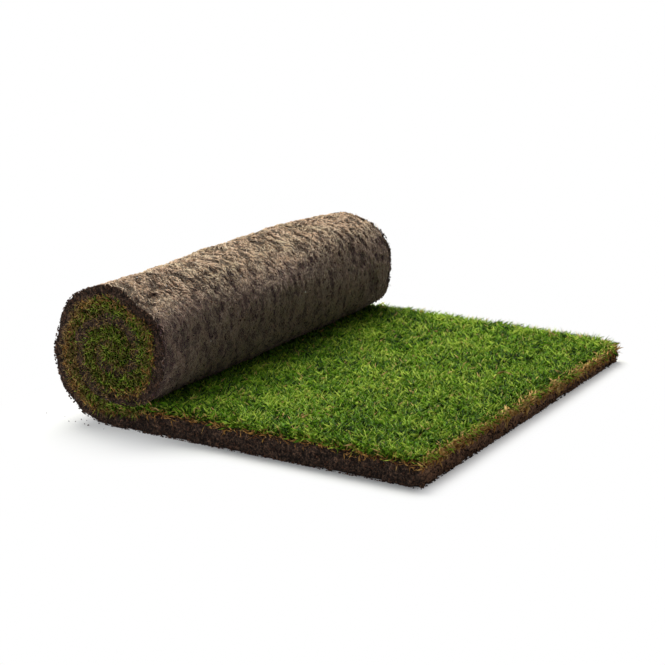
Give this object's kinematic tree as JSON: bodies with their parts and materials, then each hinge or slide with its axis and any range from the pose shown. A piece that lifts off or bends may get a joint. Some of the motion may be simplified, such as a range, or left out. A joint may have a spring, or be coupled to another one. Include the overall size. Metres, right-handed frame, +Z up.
{
  "type": "turf roll",
  "caption": "Partly unrolled strip of turf: short green grass on a brown mat of soil and roots, wound up with the grass inwards, its free end lying flat.",
  "frame": {"origin": "centre of the object's footprint, on the ground", "axes": "+X from the roll towards the cut end of the flat run, +Y along the roll's axis, +Z up"},
  "size_m": [0.5228, 0.616, 0.1812],
  "materials": {
    "soil": "matte",
    "grass": "matte"
  },
  "bodies": {
    "root": {"root_mat": "soil", "grass_sward": "grass"}
  },
  "joints": []
}
